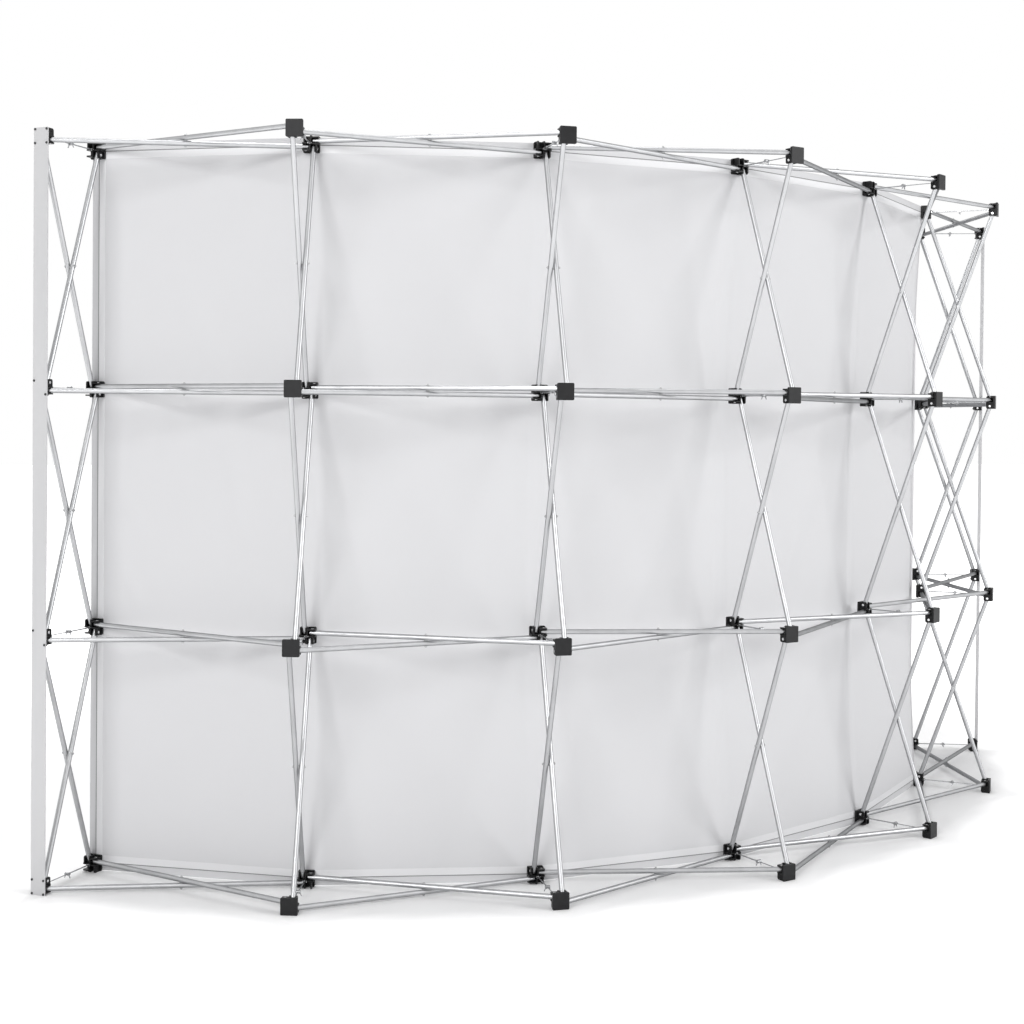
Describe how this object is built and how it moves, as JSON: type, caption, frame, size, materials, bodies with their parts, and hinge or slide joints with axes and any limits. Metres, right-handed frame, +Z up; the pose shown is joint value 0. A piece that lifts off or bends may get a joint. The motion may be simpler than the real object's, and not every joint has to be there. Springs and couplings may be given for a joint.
{
  "type": "pop up display backwall",
  "caption": "Curved pop up display wall: a folding lattice of crossed tubes and hubs with locking arms, end posts and a plain stretch fabric panel on its hollow side.",
  "frame": {"origin": "on the floor, at the centre of the wall's overall box in plan", "axes": "+Z is up, +X runs along the wall, +Y points to the rear, where the frame is seen, and the fabric faces -Y"},
  "size_m": [4.077, 1.2068, 2.255],
  "materials": {
    "hub_black": "satin moulded",
    "cap_black": "fine satin",
    "tube_silver": "satin anodised",
    "pin_steel": "bright zinc",
    "screw_black": "black zinc",
    "arm_steel": "bright wire and dull pressed clip",
    "post_grey": "matt powder coat",
    "cloth_white": "plain stretch weave, matt",
    "tape_grey": "soft loop pile",
    "pad_black": "hook pile"
  },
  "bodies": {
    "frame": {"rear_hubs_bottom": "hub_black", "rear_hubs_lower": "hub_black", "rear_hubs_upper": "hub_black", "rear_hubs_top": "hub_black", "front_hubs_bottom": "hub_black", "front_hubs_lower": "hub_black", "front_hubs_upper": "hub_black", "front_hubs_top": "hub_black", "cross_tubes_bottom": "tube_silver", "cross_tubes_lower": "tube_silver", "cross_tubes_upper": "tube_silver", "cross_tubes_top": "tube_silver", "upright_tubes_1": "tube_silver", "upright_tubes_2": "tube_silver", "upright_tubes_3": "tube_silver", "upright_tubes_4": "tube_silver", "upright_tubes_5": "tube_silver", "upright_tubes_6": "tube_silver", "upright_tubes_7": "tube_silver", "rear_caps": "cap_black", "front_plates": "cap_black", "hook_pads": "pad_black", "fork_pins": "pin_steel", "crossing_rivets": "pin_steel", "crossing_washers": "pin_steel", "lock_rods": "arm_steel", "arm_hinge_pins": "pin_steel", "left_end_post": "post_grey", "right_end_post": "post_grey", "post_screws": "screw_black", "loop_tape": "tape_grey", "fabric_panel": "cloth_white"},
    "lock_arm_1_bottom_body": {"lock_arm_1_bottom": "arm_steel"},
    "lock_arm_1_lower_body": {"lock_arm_1_lower": "arm_steel"},
    "lock_arm_1_upper_body": {"lock_arm_1_upper": "arm_steel"},
    "lock_arm_1_top_body": {"lock_arm_1_top": "arm_steel"},
    "lock_arm_2_bottom_body": {"lock_arm_2_bottom": "arm_steel"},
    "lock_arm_2_lower_body": {"lock_arm_2_lower": "arm_steel"},
    "lock_arm_2_upper_body": {"lock_arm_2_upper": "arm_steel"},
    "lock_arm_2_top_body": {"lock_arm_2_top": "arm_steel"},
    "lock_arm_3_bottom_body": {"lock_arm_3_bottom": "arm_steel"},
    "lock_arm_3_lower_body": {"lock_arm_3_lower": "arm_steel"},
    "lock_arm_3_upper_body": {"lock_arm_3_upper": "arm_steel"},
    "lock_arm_3_top_body": {"lock_arm_3_top": "arm_steel"},
    "lock_arm_4_bottom_body": {"lock_arm_4_bottom": "arm_steel"},
    "lock_arm_4_lower_body": {"lock_arm_4_lower": "arm_steel"},
    "lock_arm_4_upper_body": {"lock_arm_4_upper": "arm_steel"},
    "lock_arm_4_top_body": {"lock_arm_4_top": "arm_steel"},
    "lock_arm_5_bottom_body": {"lock_arm_5_bottom": "arm_steel"},
    "lock_arm_5_lower_body": {"lock_arm_5_lower": "arm_steel"},
    "lock_arm_5_upper_body": {"lock_arm_5_upper": "arm_steel"},
    "lock_arm_5_top_body": {"lock_arm_5_top": "arm_steel"},
    "lock_arm_6_bottom_body": {"lock_arm_6_bottom": "arm_steel"},
    "lock_arm_6_lower_body": {"lock_arm_6_lower": "arm_steel"},
    "lock_arm_6_upper_body": {"lock_arm_6_upper": "arm_steel"},
    "lock_arm_6_top_body": {"lock_arm_6_top": "arm_steel"},
    "lock_arm_7_bottom_body": {"lock_arm_7_bottom": "arm_steel"},
    "lock_arm_7_lower_body": {"lock_arm_7_lower": "arm_steel"},
    "lock_arm_7_upper_body": {"lock_arm_7_upper": "arm_steel"},
    "lock_arm_7_top_body": {"lock_arm_7_top": "arm_steel"}
  },
  "joints": [
    {"name": "arm_1_bottom_lift", "type": "hinge", "parent": "frame", "child": "lock_arm_1_bottom_body", "pos_m": [-1.82521, -0.56063, 0.025], "axis": [0.5962, 0.8028, 0], "range_deg": [0, 60]},
    {"name": "arm_1_lower_lift", "type": "hinge", "parent": "frame", "child": "lock_arm_1_lower_body", "pos_m": [-1.82521, -0.56063, 0.76], "axis": [0.5962, 0.8028, 0], "range_deg": [0, 60]},
    {"name": "arm_1_upper_lift", "type": "hinge", "parent": "frame", "child": "lock_arm_1_upper_body", "pos_m": [-1.82521, -0.56063, 1.495], "axis": [0.5962, 0.8028, 0], "range_deg": [0, 60]},
    {"name": "arm_1_top_lift", "type": "hinge", "parent": "frame", "child": "lock_arm_1_top_body", "pos_m": [-1.82521, -0.56063, 2.23], "axis": [0.5962, 0.8028, 0], "range_deg": [0, 60]},
    {"name": "arm_2_bottom_lift", "type": "hinge", "parent": "frame", "child": "lock_arm_2_bottom_body", "pos_m": [-1.32346, -0.06756, 0.025], "axis": [0.8131, 0.5821, 0], "range_deg": [0, 60]},
    {"name": "arm_2_lower_lift", "type": "hinge", "parent": "frame", "child": "lock_arm_2_lower_body", "pos_m": [-1.32346, -0.06756, 0.76], "axis": [0.8131, 0.5821, 0], "range_deg": [0, 60]},
    {"name": "arm_2_upper_lift", "type": "hinge", "parent": "frame", "child": "lock_arm_2_upper_body", "pos_m": [-1.32346, -0.06756, 1.495], "axis": [0.8131, 0.5821, 0], "range_deg": [0, 60]},
    {"name": "arm_2_top_lift", "type": "hinge", "parent": "frame", "child": "lock_arm_2_top_body", "pos_m": [-1.32346, -0.06756, 2.23], "axis": [0.8131, 0.5821, 0], "range_deg": [0, 60]},
    {"name": "arm_3_bottom_lift", "type": "hinge", "parent": "frame", "child": "lock_arm_3_bottom_body", "pos_m": [-0.695, 0.24852, 0.025], "axis": [0.9521, 0.3057, 0], "range_deg": [0, 60]},
    {"name": "arm_3_lower_lift", "type": "hinge", "parent": "frame", "child": "lock_arm_3_lower_body", "pos_m": [-0.695, 0.24852, 0.76], "axis": [0.9521, 0.3057, 0], "range_deg": [0, 60]},
    {"name": "arm_3_upper_lift", "type": "hinge", "parent": "frame", "child": "lock_arm_3_upper_body", "pos_m": [-0.695, 0.24852, 1.495], "axis": [0.9521, 0.3057, 0], "range_deg": [0, 60]},
    {"name": "arm_3_top_lift", "type": "hinge", "parent": "frame", "child": "lock_arm_3_top_body", "pos_m": [-0.695, 0.24852, 2.23], "axis": [0.9521, 0.3057, 0], "range_deg": [0, 60]},
    {"name": "arm_4_bottom_lift", "type": "hinge", "parent": "frame", "child": "lock_arm_4_bottom_body", "pos_m": [0, 0.35736, 0.025], "axis": [1, 0, 0], "range_deg": [0, 60]},
    {"name": "arm_4_lower_lift", "type": "hinge", "parent": "frame", "child": "lock_arm_4_lower_body", "pos_m": [0, 0.35736, 0.76], "axis": [1, 0, 0], "range_deg": [0, 60]},
    {"name": "arm_4_upper_lift", "type": "hinge", "parent": "frame", "child": "lock_arm_4_upper_body", "pos_m": [0, 0.35736, 1.495], "axis": [1, 0, 0], "range_deg": [0, 60]},
    {"name": "arm_4_top_lift", "type": "hinge", "parent": "frame", "child": "lock_arm_4_top_body", "pos_m": [0, 0.35736, 2.23], "axis": [1, 0, 0], "range_deg": [0, 60]},
    {"name": "arm_5_bottom_lift", "type": "hinge", "parent": "frame", "child": "lock_arm_5_bottom_body", "pos_m": [0.695, 0.24852, 0.025], "axis": [0.9521, -0.3057, 0], "range_deg": [0, 60]},
    {"name": "arm_5_lower_lift", "type": "hinge", "parent": "frame", "child": "lock_arm_5_lower_body", "pos_m": [0.695, 0.24852, 0.76], "axis": [0.9521, -0.3057, 0], "range_deg": [0, 60]},
    {"name": "arm_5_upper_lift", "type": "hinge", "parent": "frame", "child": "lock_arm_5_upper_body", "pos_m": [0.695, 0.24852, 1.495], "axis": [0.9521, -0.3057, 0], "range_deg": [0, 60]},
    {"name": "arm_5_top_lift", "type": "hinge", "parent": "frame", "child": "lock_arm_5_top_body", "pos_m": [0.695, 0.24852, 2.23], "axis": [0.9521, -0.3057, 0], "range_deg": [0, 60]},
    {"name": "arm_6_bottom_lift", "type": "hinge", "parent": "frame", "child": "lock_arm_6_bottom_body", "pos_m": [1.32346, -0.06756, 0.025], "axis": [0.8131, -0.5821, 0], "range_deg": [0, 60]},
    {"name": "arm_6_lower_lift", "type": "hinge", "parent": "frame", "child": "lock_arm_6_lower_body", "pos_m": [1.32346, -0.06756, 0.76], "axis": [0.8131, -0.5821, 0], "range_deg": [0, 60]},
    {"name": "arm_6_upper_lift", "type": "hinge", "parent": "frame", "child": "lock_arm_6_upper_body", "pos_m": [1.32346, -0.06756, 1.495], "axis": [0.8131, -0.5821, 0], "range_deg": [0, 60]},
    {"name": "arm_6_top_lift", "type": "hinge", "parent": "frame", "child": "lock_arm_6_top_body", "pos_m": [1.32346, -0.06756, 2.23], "axis": [0.8131, -0.5821, 0], "range_deg": [0, 60]},
    {"name": "arm_7_bottom_lift", "type": "hinge", "parent": "frame", "child": "lock_arm_7_bottom_body", "pos_m": [1.82521, -0.56063, 0.025], "axis": [0.5962, -0.8028, 0], "range_deg": [0, 60]},
    {"name": "arm_7_lower_lift", "type": "hinge", "parent": "frame", "child": "lock_arm_7_lower_body", "pos_m": [1.82521, -0.56063, 0.76], "axis": [0.5962, -0.8028, 0], "range_deg": [0, 60]},
    {"name": "arm_7_upper_lift", "type": "hinge", "parent": "frame", "child": "lock_arm_7_upper_body", "pos_m": [1.82521, -0.56063, 1.495], "axis": [0.5962, -0.8028, 0], "range_deg": [0, 60]},
    {"name": "arm_7_top_lift", "type": "hinge", "parent": "frame", "child": "lock_arm_7_top_body", "pos_m": [1.82521, -0.56063, 2.23], "axis": [0.5962, -0.8028, 0], "range_deg": [0, 60]}
  ]
}
